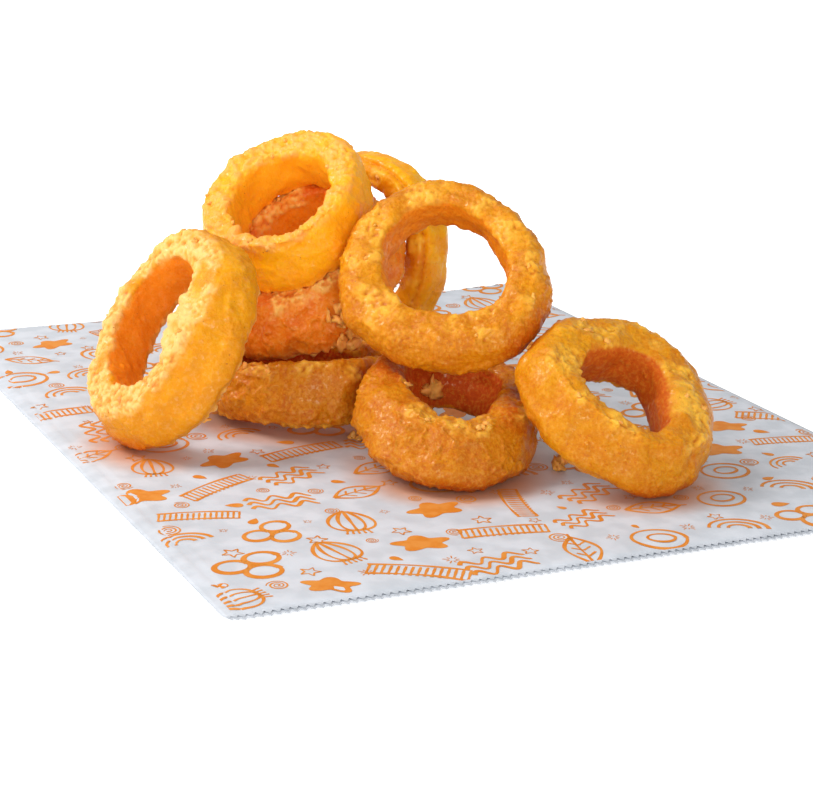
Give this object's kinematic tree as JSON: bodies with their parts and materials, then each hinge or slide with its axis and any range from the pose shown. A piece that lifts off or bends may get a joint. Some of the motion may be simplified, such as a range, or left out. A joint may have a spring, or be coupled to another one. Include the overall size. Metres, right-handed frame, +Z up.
{
  "type": "side of onion rings",
  "caption": "Heap of battered, deep-fried onion rings of several sizes, piled and leaning on a flat printed greaseproof bag; a fast-food side dish.",
  "frame": {"origin": "on the surface the bag lies on, under the middle of the bag", "axes": "+Z up; +X along the bag's open, pinked edge, to the right as seen from that edge; +Y from the open edge to the sealed back edge"},
  "size_m": [0.254, 0.305, 0.0951],
  "materials": {
    "greaseproof_paper": "matt white greaseproof paper with an orange line print",
    "fried_batter": "rough golden-orange fried batter, slightly oily"
  },
  "bodies": {
    "root": {"greaseproof_bag": "greaseproof_paper", "ring_base": "fried_batter", "ring_under": "fried_batter", "ring_top": "fried_batter", "ring_left": "fried_batter", "ring_leaning": "fried_batter", "ring_back": "fried_batter", "ring_front": "fried_batter", "ring_right": "fried_batter"}
  },
  "joints": []
}
